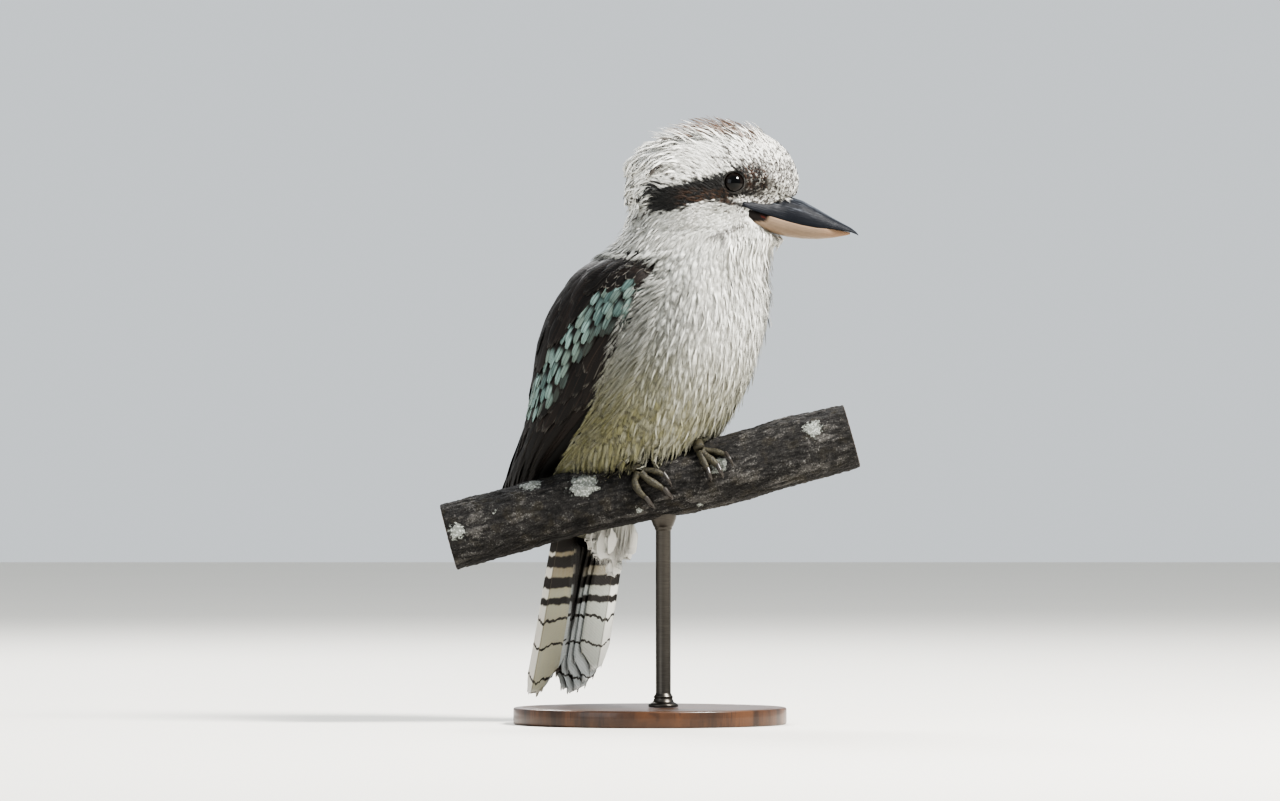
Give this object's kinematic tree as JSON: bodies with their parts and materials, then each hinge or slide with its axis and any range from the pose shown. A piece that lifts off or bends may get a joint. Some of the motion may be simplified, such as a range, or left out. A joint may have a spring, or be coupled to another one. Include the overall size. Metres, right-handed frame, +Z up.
{
  "type": "laughing kookaburra",
  "caption": "Life-size laughing kookaburra, a still model perched upright on a short cut length of branch, held over a round base by one short rod.",
  "frame": {"origin": "centre of the base's underside", "axes": "+Z up; +X level along the perch towards its rising end, the way the bill points; the bird's breast faces halfway between +X and -Y"},
  "size_m": [0.2525, 0.1798, 0.3584],
  "materials": {
    "white_plumage": "soft matte feathers",
    "breast_plumage": "soft matte feathers with fine dusky scaling",
    "wing_plumage": "satin dark brown feathers with pale blue-green tips",
    "tail_plumage": "satin feathers barred in dark brown and white",
    "bill_dark": "semi-gloss blue-black horn",
    "bill_pale": "semi-gloss pale horn",
    "eye": "glossy dark brown",
    "foot_skin": "dry scaly olive grey",
    "claw_horn": "semi-gloss dark horn",
    "bark": "rough dark bark with pale lichen",
    "base_wood": "satin dark stained wood",
    "rod_metal": "satin black"
  },
  "bodies": {
    "root": {"head": "white_plumage", "neck": "white_plumage", "torso": "breast_plumage", "bill_upper": "bill_dark", "bill_lower": "bill_pale", "eye_right": "eye", "eye_left": "eye", "wing_right": "wing_plumage", "wing_left": "wing_plumage", "tail": "tail_plumage", "under_tail_tuft": "white_plumage", "leg_right": "foot_skin", "leg_left": "foot_skin", "perch": "bark", "stand_base": "base_wood", "stand_rod": "rod_metal"}
  },
  "joints": []
}
